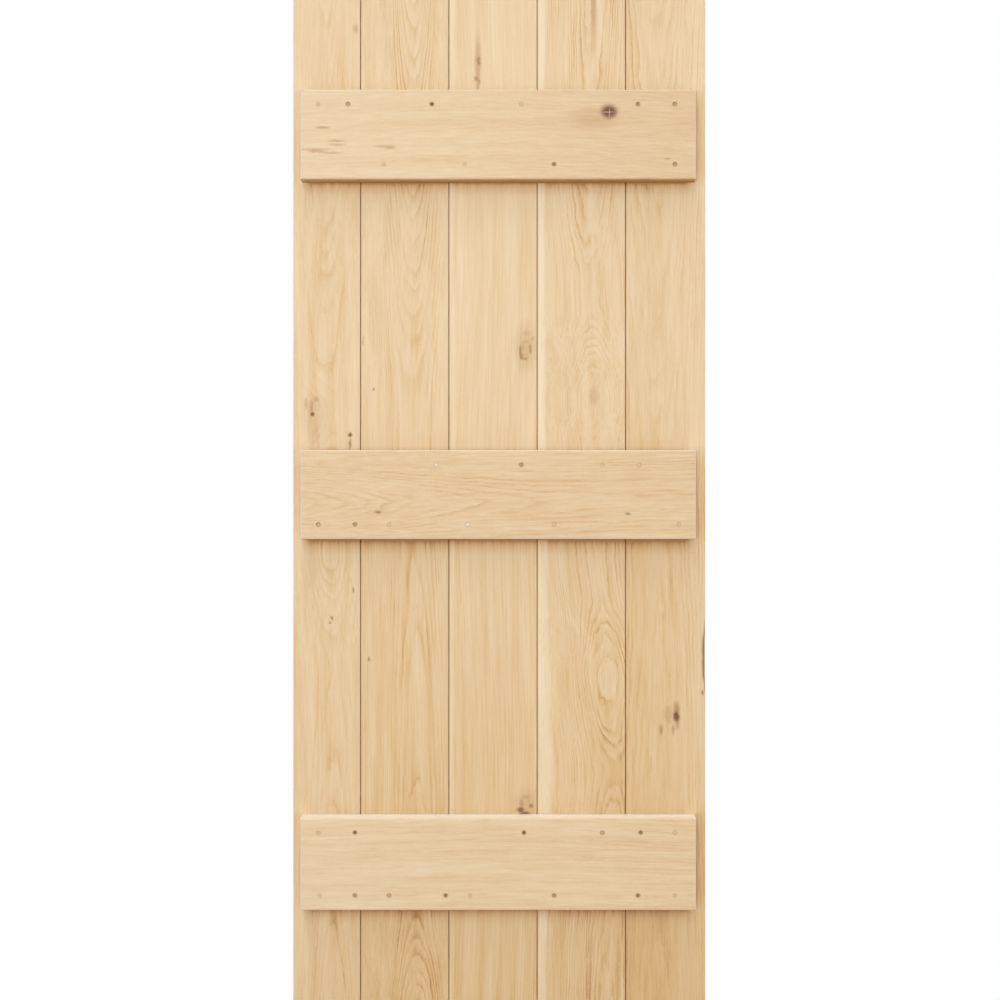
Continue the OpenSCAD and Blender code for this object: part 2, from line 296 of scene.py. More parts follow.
def put_mesh(name, points, faces, end_axis, attributes, materials):
    """Makes the object at the origin, with its place in its mesh. Flat faces are shaded flat and rounded
    ones smooth; faces square to the end axis are sawn ends and take the second material."""
    mesh = bpy.data.meshes.new(name)
    mesh.from_pydata(points.tolist(), [], faces)
    mesh.update()
    normal = np.empty(len(mesh.polygons) * 3, np.float32)
    mesh.polygons.foreach_get("normal", normal)
    square = np.abs(normal.reshape(-1, 3)) > SQUARE_TO_AXIS
    mesh.polygons.foreach_set("use_smooth", ~square.any(axis=1))
    mesh.polygons.foreach_set("material_index", square[:, end_axis].astype(np.int32))
    for key, values in attributes.items():
        kind, field = ("FLOAT_VECTOR", "vector") if values.ndim == 2 else ("FLOAT", "value")
        layer = mesh.attributes.new(key, kind, "POINT")
        layer.data.foreach_set(field, np.ascontiguousarray(values, np.float32).ravel())
    for material in materials:
        mesh.materials.append(material)
    made = bpy.data.objects.new(name, mesh)
    bpy.context.scene.collection.objects.link(made)
    return made


def linear(code):
    """sRGB hex to linear light: c / 12.92 up to 0.04045, and ((c + 0.055) / 1.055) to the 2.4 above."""
    c = np.array([int(code[i:i + 2], 16) / 255 for i in (1, 3, 5)])
    return (*np.where(c <= 0.04045, c / 12.92, ((c + 0.055) / 1.055) ** 2.4), 1.0)


def node(tree, kind, inputs=None, stops=None, **settings):
    """Adds a shader node, sets its properties and fills its inputs, by name or number: a socket is linked,
    a value is set. A MapRange takes the value, the range that it comes from and the one that it goes to
    as 0 to 4, and a Mix of colours the share and the two colours as 0, 6 and 7. stops fills a colour ramp
    with (place, hex colour or grey level)."""
    made = tree.nodes.new("ShaderNode" + kind)
    for key, value in settings.items():
        setattr(made, key, value)
    for key, value in (inputs or {}).items():
        if isinstance(value, bpy.types.NodeSocket):
            tree.links.new(value, made.inputs[key])
        else:
            made.inputs[key].default_value = value
    for i, (place, colour) in enumerate(stops or []):
        elements = made.color_ramp.elements
        stop = elements[i] if i < len(elements) else elements.new(place)
        stop.position = place
        stop.color = linear(colour) if isinstance(colour, str) else (colour, colour, colour, 1)
    return made


def empty_material(name):
    """A new material with no nodes yet, and its node tree."""
    made = bpy.data.materials.new(name)
    made.use_nodes = True
    made.node_tree.nodes.clear()
    return made, made.node_tree


# Oak's colours run from sapwood to the darkest ring. Stain, heart, bark and dirt darken them, and so do
# a brown and a grey painted shade; the cracks in a knot are paler, and so is a painted highlight on the
# ledges' tops and arrises.
BOARD_PALETTE = [(0.0, "#f1ddbb"), (0.3, "#e7cca4"), (0.6, "#dab682"), (1.0, "#b2814c")]
END_PALETTE = [(0.0, "#d9b986"), (0.3, "#c9a570"), (0.6, "#b58d58"), (1.0, "#8a653a")]
STAIN_TINT = "#c4a67c"
HEART_TINT = "#825927"
BARK_DIRT_AND_SHADE_TINT = "#b3956f"
PAINTED_SHADE_ABOVE_TINT = "#bcbcbc"
CRACK_COLOUR = "#cdb399"
PAINTED_HIGHLIGHT_COLOUR = "#fdf3e2"

# Noises that are stretched along the grain: size across it and along it in mm, detail and roughness.
# Oak's pores are about 0.3 mm wide, and are drawn coarser so that they show.
GRAIN_NOISES = {
    "wander": (60, 330, 2.0, 0.5),
    "ripple": (16, 55, 2.0, 0.5),
    "fade": (24, 150, 1.0, 0.5),
    "streak": (15, 400, 2.0, 0.5),
    "pore": (0.7, 12, 1.0, 0.5),
}
FIBRE_DETAIL = (4.0, 0.6)
BOARD_FIBRE = (2.2, 90)
NOISE_MIDDLE = 0.5

# Knots are soft spots with a crumpled outline: (outer, inner) edge in shares of their half axes.
CRUMPLE_SIZE = 5.0 * MM
CRUMPLE_REACH = 4.0 * MM
HEART_EDGE = (1.45, 0.45)
STAIN_EDGE = (2.1, 0.5)
SWELL_EDGE = (3.5, 0.0)
SWELL_SHARE = 0.9
CRACK_EDGE = (1.2, 0.4)
CRACK_PALENESS = 0.8

# Rings: a profile from one year's early wood to the next, years of uneven width and strength, lines that
# fade here and there, and less of them beyond the figure.
WANDER_REACH = 3.5
UNEVEN_RATE = 0.07
UNEVEN_YEARS = 2.0
RING_PROFILE = [(0.0, 0.85), (0.1, 1.0), (0.3, 0.45), (0.6, 0.08), (0.85, 0.0), (1.0, 0.85)]
WEAKEST_YEAR = 0.25
FADE_RANGE = (0.35, 0.65)
FAINTEST_LINE = 0.2
FIGURE_EDGE = (0.5, 1.3)
BEYOND_FIGURE = 0.3
PORE_RANGE = (0.58, 0.74)
PORES_IN_LINES = 0.8
PORES_ELSEWHERE = 0.25

# How much each of them deepens the colour, and the relief and the dull sheen that they give.
LINE_DEPTH = 0.42
FIBRE_DEPTH = 0.45
PORE_DEPTH = 0.3
PORE_RELIEF = -1.0
LINE_RELIEF = -0.3
RELIEF_STRENGTH = 0.5
RELIEF_HEIGHT = 0.15 * MM
FIBRE_RANGE = (0.2, 0.8)
OAK_ROUGHNESS = (0.5, 0.7)
OAK_IOR = 1.5


def oak(name, palette, fibre, facts):
    """Bare sanded European oak. The eye gets rings as soft brown lines that part round the knots, finer
    fibre streaks, short dark pores along the grain and slow drifts of colour, all under a dull sheen.
    The grain attribute holds each point's place from the pith, in mm, along Z the fibre. deepen makes the
    colour deeper or paler from place to place, painted shade included, bold makes the rings stronger or
    weaker, the brown attribute browns the wood for bark, dirt, stain and a painted shadow, the grey one
    greys it as a painted shade and the pale one bleaches it as a painted highlight."""
    made, tree = empty_material(name)
    here = node(tree, "TexCoord").outputs["Object"]
    grain = node(tree, "Attribute", attribute_name="grain").outputs["Vector"]
    deepen, bold, bark_dirt_and_shade, shade_above, painted_highlight = [
        node(tree, "Attribute", attribute_name=key).outputs["Fac"]
        for key in ("deepen", "bold", "bark_dirt_and_shade", "shade_above", "painted_highlight")]
    noise = {}
    for key, (size, length, detail, rough) in {**GRAIN_NOISES, "fibre": (*fibre, *FIBRE_DETAIL)}.items():
        shrink = (1 / size, 1 / size, 1 / length)
        place = node(tree, "VectorMath", {0: grain, 1: shrink}, operation="MULTIPLY").outputs[0]
        noise[key] = node(tree, "TexNoise", {
            "Vector": place, "Scale": 1.0, "Detail": detail, "Roughness": rough}).outputs["Fac"]

    # Knots: a dark heart, a stain round it, a swelling that pushes the rings aside, and pale cracks.
    crumple = node(tree, "TexNoise", {"Vector": here, "Scale": 1 / CRUMPLE_SIZE, "Detail": 2.0})
    crumple = node(tree, "VectorMath", {0: crumple.outputs["Color"], 1: (NOISE_MIDDLE,) * 3},
                   operation="SUBTRACT").outputs[0]
    crumpled = node(tree, "VectorMath", {0: crumple, 1: (CRUMPLE_REACH,) * 3, 2: here},
                    operation="MULTIPLY_ADD").outputs[0]

    def away_from(x, z, half_w, half_h):
        """Distance from the middle of an ellipse, in shares of its half axes, at the crumpled place."""
        middle = (x * MM, 0, z * MM)
        share = (1 / (half_w * MM), 0, 1 / (half_h * MM))
        away = node(tree, "VectorMath", {0: crumpled, 1: middle}, operation="SUBTRACT").outputs[0]
        away = node(tree, "VectorMath", {0: away, 1: share}, operation="MULTIPLY").outputs[0]
        return node(tree, "VectorMath", {0: away}, operation="LENGTH").outputs["Value"]

    def with_spot(field, away, edge, strength):
        """The field with one more soft spot, from nothing at its outer edge to its full strength at the
        inner one. Where spots meet, the stronger one shows."""
        spot = node(tree, "MapRange", {0: away, 1: edge[0], 2: edge[1], 3: 0.0, 4: strength},
                    interpolation_type="SMOOTHSTEP").outputs[0]
        return node(tree, "Math", {0: spot, 1: field}, operation="MAXIMUM").outputs[0]

    heart = 0.0
    stain = 0.0
    swell = 0.0
    crack = 0.0
    for x, z, half_w, half_h, dark, halo in facts["knots"]:
        away = away_from(x, z, half_w, half_h)
        heart = with_spot(heart, away, HEART_EDGE, dark)
        stain = with_spot(stain, away, STAIN_EDGE, halo)
        swell = with_spot(swell, away, SWELL_EDGE, SWELL_SHARE * half_w)
    for place in facts.get("cracks", []):
        crack = with_spot(crack, away_from(*place), CRACK_EDGE, CRACK_PALENESS)

    # Rings: distance from the pith, wandering and rippling, counted in rings of uneven width. They fade
    # away from the pith, where the saw met them square.
    across = node(tree, "VectorMath", {0: grain, 1: (1, 1, 0)}, operation="MULTIPLY").outputs[0]
    radius = node(tree, "VectorMath", {0: across}, operation="LENGTH").outputs["Value"]
    for key, reach in (("wander", WANDER_REACH), ("ripple", facts["ripple"])):
        shift = node(tree, "MapRange", {0: noise[key], 1: 0.0, 2: 1.0, 3: -reach, 4: reach}).outputs[0]
        radius = node(tree, "Math", {0: radius, 1: shift}, operation="ADD").outputs[0]
    radius = node(tree, "Math", {0: radius, 1: swell}, operation="ADD").outputs[0]
    uneven = node(tree, "TexNoise", {"W": radius, "Scale": UNEVEN_RATE, "Detail": 1.0},
                  noise_dimensions="1D").outputs["Fac"]
    count = node(tree, "Math", {0: radius, 1: 1 / facts["ring"]}, operation="MULTIPLY").outputs[0]
    count = node(tree, "Math", {0: uneven, 1: UNEVEN_YEARS, 2: count}, operation="MULTIPLY_ADD").outputs[0]
    year = node(tree, "Math", {0: count}, operation="FLOOR").outputs[0]
    season = node(tree, "Math", {0: count}, operation="FRACT").outputs[0]
    line = node(tree, "ValToRGB", {0: season}, stops=RING_PROFILE).outputs["Color"]
    vigour = node(tree, "TexWhiteNoise", {"W": year}, noise_dimensions="1D").outputs["Value"]
    vigour = node(tree, "MapRange", {0: vigour, 1: 0.0, 2: 1.0, 3: WEAKEST_YEAR, 4: 1.0}).outputs[0]
    fade = node(tree, "MapRange", {
        0: noise["fade"], 1: FADE_RANGE[0], 2: FADE_RANGE[1], 3: FAINTEST_LINE, 4: 1.0}).outputs[0]
    aside = node(tree, "SeparateXYZ", {0: grain}).outputs["X"]
    aside = node(tree, "Math", {0: aside}, operation="ABSOLUTE").outputs[0]
    within, beyond = (share * facts["figure"] for share in FIGURE_EDGE)
    shown = node(tree, "MapRange", {0: aside, 1: within, 2: beyond, 3: 1.0, 4: BEYOND_FIGURE},
                 interpolation_type="SMOOTHSTEP").outputs[0]
    for strength in (vigour, fade, shown, bold):
        line = node(tree, "Math", {0: line, 1: strength}, operation="MULTIPLY").outputs[0]

    # Pores: most of them lie in the lines of early wood.
    pore = node(tree, "MapRange", {
        0: noise["pore"], 1: PORE_RANGE[0], 2: PORE_RANGE[1], 3: 0.0, 4: 1.0}).outputs[0]
    porous = node(tree, "Math", {0: line, 1: PORES_IN_LINES, 2: PORES_ELSEWHERE},
                  operation="MULTIPLY_ADD").outputs[0]
    pore = node(tree, "Math", {0: pore, 1: porous}, operation="MULTIPLY").outputs[0]

    # Depth of colour: from sapwood at 0 to the darkest ring at 1, painted shade added in, with the tints
    # over it, painted shade and a painted highlight among them.
    deep = node(tree, "Math", {0: line, 1: LINE_DEPTH * facts["contrast"], 2: facts["depth"]},
                operation="MULTIPLY_ADD").outputs[0]
    for key, weight in (("fibre", FIBRE_DEPTH), ("streak", facts["drift"])):
        drift = node(tree, "Math", {0: noise[key], 1: NOISE_MIDDLE}, operation="SUBTRACT").outputs[0]
        deep = node(tree, "Math", {0: drift, 1: weight, 2: deep}, operation="MULTIPLY_ADD").outputs[0]
    deep = node(tree, "Math", {0: pore, 1: PORE_DEPTH, 2: deep}, operation="MULTIPLY_ADD").outputs[0]
    deep = node(tree, "Math", {0: deep, 1: deepen}, operation="ADD").outputs[0]
    colour = node(tree, "ValToRGB", {0: deep}, stops=palette).outputs["Color"]
    tints = [
        (stain, STAIN_TINT, "MULTIPLY"), (heart, HEART_TINT, "MULTIPLY"), (bark_dirt_and_shade, BARK_DIRT_AND_SHADE_TINT, "MULTIPLY"),
        (shade_above, PAINTED_SHADE_ABOVE_TINT, "MULTIPLY"), (crack, CRACK_COLOUR, "MIX"), (painted_highlight, PAINTED_HIGHLIGHT_COLOUR, "MIX"),
    ]
    for share, tint, blend in tints:
        colour = node(tree, "Mix", {0: share, 6: colour, 7: linear(tint)}, data_type="RGBA",
                      blend_type=blend).outputs[2]

    # Relief: pores and early wood lie a little lower, fibres stand a little proud and are duller.
    relief = node(tree, "Math", {0: pore, 1: PORE_RELIEF, 2: noise["fibre"]},
                  operation="MULTIPLY_ADD").outputs[0]
    relief = node(tree, "Math", {0: line, 1: LINE_RELIEF, 2: relief}, operation="MULTIPLY_ADD").outputs[0]
    bump = node(tree, "Bump", {
        "Height": relief, "Strength": RELIEF_STRENGTH, "Distance": RELIEF_HEIGHT}).outputs[0]
    rough = node(tree, "MapRange", {
        0: noise["fibre"], 1: FIBRE_RANGE[0], 2: FIBRE_RANGE[1],
        3: OAK_ROUGHNESS[0], 4: OAK_ROUGHNESS[1]}).outputs[0]
    shader = node(tree, "BsdfPrincipled", {
        "Base Color": colour, "Roughness": rough, "Normal": bump, "IOR": OAK_IOR})
    node(tree, "OutputMaterial", {"Surface": shader.outputs[0]})
    return made


ledge_boxes = [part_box(name) for name in ("top_ledge", "middle_ledge", "bottom_ledge")]
near_ledges = np.concatenate([
    np.concatenate([low.z - NEAR_LEDGE_ROWS, high.z + NEAR_LEDGE_ROWS]) for low, high in ledge_boxes])
sawn_end = oak("oak_sawn_end", END_PALETTE, BOARD_FIBRE, SAWN_END)

for number, (name, facts) in enumerate(BOARDS.items()):
    low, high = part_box(name)
    tongued = name != "right_edge_board"
    grooved = name != "left_edge_board"
    right = high.x - TONGUE_REACH * tongued
    section = board_section(low.x, right, low.y, high.y, tongued, grooved)
    points, faces = board_mesh(section, low.y, high.y, high.z, near_ledges)
    bark_dirt_and_shade = np.zeros(len(points))
    if name == "right_edge_board":
        points, past = cut_wane(points, right, low.y)
        bark_dirt_and_shade = WANE_BROWN * np.clip(past / WANE_EDGE + WANE_EDGE_BROWN, 0, 1)
    past_left = np.clip(1 - (points[:, 0] - low.x) / JOINT_DIRT_REACH, 0, 1)
    past_right = np.clip(1 - (right - points[:, 0]) / JOINT_DIRT_REACH, 0, 1)
    bark_dirt_and_shade = np.maximum(bark_dirt_and_shade, JOINT_DIRT * np.maximum(past_left * grooved, past_right * tongued))
    x, y, z = points.T / MM
    pith = through(facts["grain"], z)
    fibre_place = z + TREE_SPACING * number
    grain = np.stack([x - pith[:, 0], y - low.y / MM - pith[:, 1], fibre_place], axis=1)
    # Painted shade: the colour deepens towards the foot of the leaf.
    deepen = facts["foot"] * np.clip(1 - points[:, 2] / PAINTED_FOOT_SHADE_HEIGHT, 0, 1)
    shade_above = np.zeros(len(points))
    ledge_side = points[:, 1] < (low.y + high.y) / 2
    # Painted shadow below each ledge, deeper and browner near it; painted shade beside its ends; and a grey
    # painted shade just above it.
    for (ledge_low, ledge_high), (deeper, reach, brown) in zip(ledge_boxes, PAINTED_SHADE_BELOW):
        below = ledge_low.z - points[:, 2]
        above = points[:, 2] - ledge_high.z
        from_end = np.minimum(points[:, 0] - ledge_low.x, ledge_high.x - points[:, 0])
        behind = ledge_side * np.clip(from_end / PAINTED_SHADE_ENDS, 0, 1)
        deepen += deeper * behind * fading(below, reach)
        bark_dirt_and_shade = np.maximum(bark_dirt_and_shade, behind * np.minimum(brown * fading(below, SHADE_REACH), SHADE_MOST))
        shade_above += PAINTED_SHADE_ABOVE * behind * fading(above, PAINTED_SHADE_ABOVE_REACH)
        from_edge = -np.maximum(below, above)
        level = ledge_side * np.clip(from_edge / BESIDE_REACH + BESIDE_CORNER, 0, 1)
        deepen += PAINTED_SHADE_LEFT * level * fading(ledge_low.x - points[:, 0], BESIDE_REACH)
        deepen += PAINTED_SHADE_RIGHT * level * fading(points[:, 0] - ledge_high.x, BESIDE_REACH)
    deepen += np.interp(points[:, 0], (low.x, right), facts.get("tint", EVEN_TINT))
    if "sapwood" in facts:
        paleness, widths = facts["sapwood"]
        inside = np.interp(z, *np.array(widths).T) - (x - low.x / MM)
        deepen -= paleness * np.clip(inside / SAPWOOD_EDGE + 1 / 2, 0, 1)
    bold = np.interp(z, *np.array(facts.get("bold", EVENLY_BOLD)).T)
    looks = {"grain": grain, "deepen": deepen, "bark_dirt_and_shade": bark_dirt_and_shade, "shade_above": shade_above, "bold": bold}
    wood = oak(name + "_oak", BOARD_PALETTE, BOARD_FIBRE, facts)
    board = put_mesh("oak_" + name, points, faces, BOARD_END_AXIS, looks, [wood, sawn_end])
    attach(board, "root")
    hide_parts(name)

# Ledges: three oak boards nailed flat across the others, planed and sanded, with the front edges rounded
# over by hand all round. The grain runs along them. Each nail was punched a little below the face, which
# left a round hole with a crushed lip and a stain.
LEDGE_ARRIS = 3.0 * MM
LEDGE_END_AXIS = 0
ARRIS_LINES = 6
LEDGE_STEP = 6.0 * MM
NAIL_CELL = 6.0 * MM
CLEAR_OF_CELL = 1.5 * MM
HOLE_RADIUS = 3.2 * MM
HOLE_DEPTH = 3.2 * MM
HOLE_SIDES = 24
OPEN_LIP = 1.1 * MM
STOPPED_LIP = 0.3 * MM
LIP_DROP = 0.7
STAIN_REACH = 5.5 * MM
OPEN_STAIN = 0.7
STOPPED_STAIN = 0.3
RIM_FLATNESS = 0.05 * MM

# Painted light on the ledges: the arrises at the ends carry a painted highlight, up to where the sawn end
# starts, and the underside a painted shade, the deeper the nearer it is to the boards.
LEDGE_PALETTE = [(0.0, "#f1debf"), (0.3, "#e6cda7"), (0.6, "#dab587"), (1.0, "#b0844a")]
PAINTED_HIGHLIGHT_END = 0.9
ARRIS_FRONT = 0.99
SHADED_UNDERSIDE = (0.25, 0.75)
UNDERSIDE_SHARE = 0.1
FIRST_LEDGE_TREE = 20000

# As for the boards, but along the ledge: grain is (along, height, depth) of the pith, bold goes along it,
# tint is for the left and the right end, fibre is the width and length of the streaks, and cracks are
# (along, height, half width, half height). The three numbers after tint give how pale a painted highlight
# makes the top, what share of the arris that takes in, and how pale it makes the arris at the foot.
LEDGES = {
    "top_ledge": {
        "depth": 0.34, "ring": 4.5, "contrast": 0.14, "figure": 400, "ripple": 1.5, "drift": 0.3,
        "fibre": (4.4, 44), "tint": (-0.09, 0.09), "painted_highlight": (0.8, 0.35, 0),
        "grain": [(-364, 1470, 70), (0, 1478, 70), (360, 1466, 72)],
        "knots": [
            (200.5, 1700, 13.5, 11.5, 0.95, 0.5), (172, 1688, 32, 14, 0, 0.3), (-323, 1671, 9, 1.8, 0, 0.6),
            (-298, 1647, 11, 1.5, 0, 0.45), (-298, 1640, 11, 1.5, 0, 0.45), (-335, 1629, 11, 2.4, 0, 0.6),
            (-335, 1631, 22, 1.6, 0, 0.4), (-309, 1625, 14, 1.5, 0, 0.45), (-209, 1637, 15, 1.6, 0, 0.45),
            (-200, 1635, 7, 2.4, 0, 0.6), (308, 1614, 4, 1.6, 0.3, 0.4),
        ],
        "cracks": [(201.5, 1697, 1.1, 11), (199, 1699.5, 12, 1.1)],
    },
    "middle_ledge": {
        "depth": 0.32, "ring": 4.4, "contrast": 0.5, "figure": 90, "ripple": 2.6, "drift": 0.3,
        "fibre": (4.2, 48), "tint": (0.06, 0.08), "painted_highlight": (0.6, 0.8, 0.45),
        "bold": [(-364, 1), (360, 1.2)],
        "grain": [(-364, 985, 22), (-99, 984, 50), (40, 985, 57), (360, 992, 60)],
        "knots": [(-222, 968, 5, 2.2, 0.45, 0.5), (235, 965, 4, 2.2, 0.4, 0.5)],
    },
    "bottom_ledge": {
        "depth": 0.32, "ring": 4.5, "contrast": 0.3, "figure": 400, "ripple": 2.6, "drift": 0.5,
        "fibre": (4.4, 44), "tint": (-0.06, 0.03), "painted_highlight": (0.95, 0.1, 0.9),
        "bold": [(-364, 0.8), (100, 1), (360, 1.5)],
        "grain": [(-364, 470, 60), (0, 480, 64), (360, 474, 60)],
        "knots": [],
    },
}


def nail_places(nails):
    """X and Z of each nail of a node, from the rims of the heads: the points of the front plane are parted
    into an upper and a lower row and then wherever X jumps, and each group gives its middle."""
    co = np.empty(len(nails.data.vertices) * 3, np.float32)
    nails.data.vertices.foreach_get("co", co)
    co = co.reshape(-1, 3)
    rim = co[co[:, 1] < co[:, 1].min() + RIM_FLATNESS]
    halfway = (rim[:, 2].min() + rim[:, 2].max()) / 2
    places = []
    for row in (rim[rim[:, 2] < halfway], rim[rim[:, 2] >= halfway]):
        row = row[np.argsort(row[:, 0])]
        groups = np.split(row, np.flatnonzero(np.diff(row[:, 0]) > 2 * HOLE_RADIUS) + 1)
        places += [(g.min(axis=0) + g.max(axis=0))[[0, 2]] / 2 for g in groups]
    return np.array(places)


def cells_round(places):
    """Spans of one nail cell each: places that lie close together share a span."""
    places = np.sort(places)
    groups = np.split(places, np.flatnonzero(np.diff(places) > 2 * NAIL_CELL) + 1)
    return [(g[0] - NAIL_CELL, g[-1] + NAIL_CELL) for g in groups]


def ledge_lines(low, high, spans):
    """Grid lines from low to high: quarter-circle steps over the arris at both ends, even steps between,
    and no line inside a nail's span but one at each side of it."""
    turn = np.linspace(0, np.pi / 2, ARRIS_LINES)
    over = LEDGE_ARRIS * (1 - np.cos(turn))
    count = round((high - low) / LEDGE_STEP)
    even = np.linspace(low + LEDGE_ARRIS, high - LEDGE_ARRIS, count)[1:-1]
    for start, end in spans:
        even = even[(even < start - CLEAR_OF_CELL) | (even > end + CLEAR_OF_CELL)]
    return np.sort(np.concatenate([low + over, even, np.ravel(spans), high - over[::-1]]))


def arris_drop(lines):
    """How far the face falls away at each line: the radius less the height of a circle at that distance."""
    edge = np.minimum(lines - lines[0], lines[-1] - lines)
    inward = np.clip(LEDGE_ARRIS - edge, 0, LEDGE_ARRIS)
    return LEDGE_ARRIS - np.sqrt(LEDGE_ARRIS ** 2 - inward ** 2)


def ledge_mesh(low, high, nails, lips):
    """Front: a grid in X and Z whose Y is the larger of the two arris drops. Back: the same grid, flat.
    The rims are joined all round. Each nail's cell is filled from its corners to a lip, a wall and a
    floor, as rings of points round the nail."""
    across = cells_round(nails[:, 0])
    rows = cells_round(nails[:, 1])
    x = ledge_lines(low.x, high.x, across)
    z = ledge_lines(low.z, high.z, rows)
    y = low.y + np.maximum(arris_drop(x)[:, None], arris_drop(z)[None, :])
    grid_x, grid_z = np.meshgrid(x, z, indexing="ij")
    front = np.stack([grid_x, y, grid_z], axis=-1).reshape(-1, 3)
    back = np.stack([grid_x, np.full_like(y, high.y), grid_z], axis=-1).reshape(-1, 3)
    index = np.arange(len(front)).reshape(y.shape)
    quads = np.stack([index[:-1, :-1], index[1:, :-1], index[1:, 1:], index[:-1, 1:]], axis=-1)
    column = np.searchsorted(x, nails[:, 0]) - 1
    row = np.searchsorted(z, nails[:, 1]) - 1
    whole = np.ones(quads.shape[:2], bool)
    whole[column, row] = False
    rim = np.concatenate([index[:-1, 0], index[-1, :-1], index[:0:-1, -1], index[0, :0:-1]])
    ahead = np.roll(rim, -1)
    behind = len(front)
    sides = np.stack([rim, rim + behind, ahead + behind, ahead], axis=-1)
    faces = quads[whole].tolist() + sides.tolist()
    faces += (quads[..., ::-1].reshape(-1, 4) + behind).tolist()
    points = [front, back]
    count = 2 * behind
    step = np.arange(HOLE_SIDES)
    angle = step * 2 * np.pi / HOLE_SIDES
    quarter = HOLE_SIDES // 4
    for (nail_x, nail_z), lip, corners in zip(nails, lips, quads[column, row]):
        rings = [(STAIN_REACH, 0), (HOLE_RADIUS + lip, 0), (HOLE_RADIUS, LIP_DROP * lip),
                 (HOLE_RADIUS, HOLE_DEPTH)]
        for radius, depth in rings:
            points.append(np.stack([nail_x + radius * np.cos(angle), np.full_like(angle, low.y + depth),
                                    nail_z + radius * np.sin(angle)], axis=1))
        ring = count + step
        then = np.roll(ring, -1)
        by_quarter = corners[[2, 3, 0, 1]]
        faces += np.stack([ring, by_quarter[step // quarter], then], axis=-1).tolist()
        faces += np.stack([ring[::quarter], np.roll(by_quarter, 1), by_quarter], axis=-1).tolist()
        wall = np.stack([ring, then, then + HOLE_SIDES, ring + HOLE_SIDES], axis=-1)
        floor = HOLE_SIDES * (len(rings) - 1)
        for below in range(0, floor, HOLE_SIDES):
            faces += (wall + below).tolist()
        faces.append((ring + floor).tolist())
        count += HOLE_SIDES * len(rings)
    return np.concatenate(points), faces


for number, (name, facts) in enumerate(LEDGES.items()):
    low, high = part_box(name)
    nails = nail_places(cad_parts[name + "_nails"])
    plugs = [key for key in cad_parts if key.startswith(name) and "filler" in key]
    plugged = np.concatenate([nail_places(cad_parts[plug]) for plug in plugs])
    gap = np.hypot(*(nails[:, None] - plugged).transpose(2, 0, 1)).min(axis=1)
    stopped = gap < HOLE_RADIUS
    points, faces = ledge_mesh(low, high, nails, np.where(stopped, STOPPED_LIP, OPEN_LIP))
    off = np.hypot(*(points[:, None, [0, 2]] - nails).transpose(2, 0, 1))
    stain = np.clip((STAIN_REACH - off) / (STAIN_REACH - HOLE_RADIUS), 0, 1)
    bark_dirt_and_shade = (stain * np.where(stopped, STOPPED_STAIN, OPEN_STAIN)).max(axis=1)
    bark_dirt_and_shade[points[:, 1] > low.y + HOLE_DEPTH + MM] = 0
    x, y, z = points.T / MM
    pith = through(facts["grain"], x)
    fibre_place = x + FIRST_LEDGE_TREE + TREE_SPACING * number
    grain = np.stack([z - pith[:, 0], y - low.y / MM - pith[:, 1], fibre_place], axis=1)
    # Painted highlight on the top face and on the arrises at the ends and at the foot.
    painted_highlight_top, top_share, painted_highlight_foot = facts["painted_highlight"]
    over_top = np.clip((points[:, 2] - high.z) / (top_share * LEDGE_ARRIS) + 1, 0, 1)
    under_foot = np.clip((low.z - points[:, 2]) / LEDGE_ARRIS + 1, 0, 1)
    round_left = np.clip((low.x - points[:, 0]) / LEDGE_ARRIS + 1, 0, 1)
    round_right = np.clip((points[:, 0] - high.x) / LEDGE_ARRIS + 1, 0, 1)
    on_arris = points[:, 1] < low.y + ARRIS_FRONT * LEDGE_ARRIS
    painted_highlight = PAINTED_HIGHLIGHT_END * on_arris * np.maximum(round_left, round_right)
    painted_highlight = np.maximum(painted_highlight, painted_highlight_foot * on_arris * under_foot)
    painted_highlight = np.maximum(painted_highlight, painted_highlight_top * over_top)
    deepen = np.interp(points[:, 0], (low.x, high.x), facts["tint"])
    # Painted shade on the underside, deepest next to the boards.
    shaded = np.interp(points[:, 1], (low.y, high.y), SHADED_UNDERSIDE)
    deepen += shaded * (points[:, 2] < low.z + UNDERSIDE_SHARE * LEDGE_ARRIS)
    bold = np.interp(x, *np.array(facts.get("bold", EVENLY_BOLD)).T)
    looks = {"grain": grain, "deepen": deepen, "bark_dirt_and_shade": bark_dirt_and_shade, "painted_highlight": painted_highlight, "bold": bold}
    wood = oak(name + "_oak", LEDGE_PALETTE, facts["fibre"], facts)
    ledge = put_mesh("oak_" + name, points, faces, LEDGE_END_AXIS, looks, [wood, sawn_end])
    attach(ledge, "root")
    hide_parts(name)

# Nails: lost-head steel nails, driven through the ledges into the boards and punched below the face.
# The tannin of the oak has stained the bare heads a dull brown, unevenly from nail to nail.
# SMEARED: (across, height) of heads in mm, and how much paler or darker than the others they are.
SMEARED = [
    (-276.5, 1714, 0.12), (-123.2, 1714, -0.25), (321, 1714, 0.1), (321, 1604, 0.1), (-331, 945.5, 0.18),
    (-264, 382, -0.1), (-201.5, 267, 0.35), (-98.2, 267, -0.15), (45.1, 382, -0.2), (188.4, 382, 0.25),
    (100.1, 267, 0.12),
]
NAIL_COLOURS = [(0.4, "#67543a"), (0.7, "#a3875f"), (1.0, "#c8ab80")]
BLOTCH_SIZE = 60.0 * MM
FLECK_SIZE = 1.2 * MM
FLECK_SHARE = 0.4
PITTING_DEPTH = 0.1 * MM

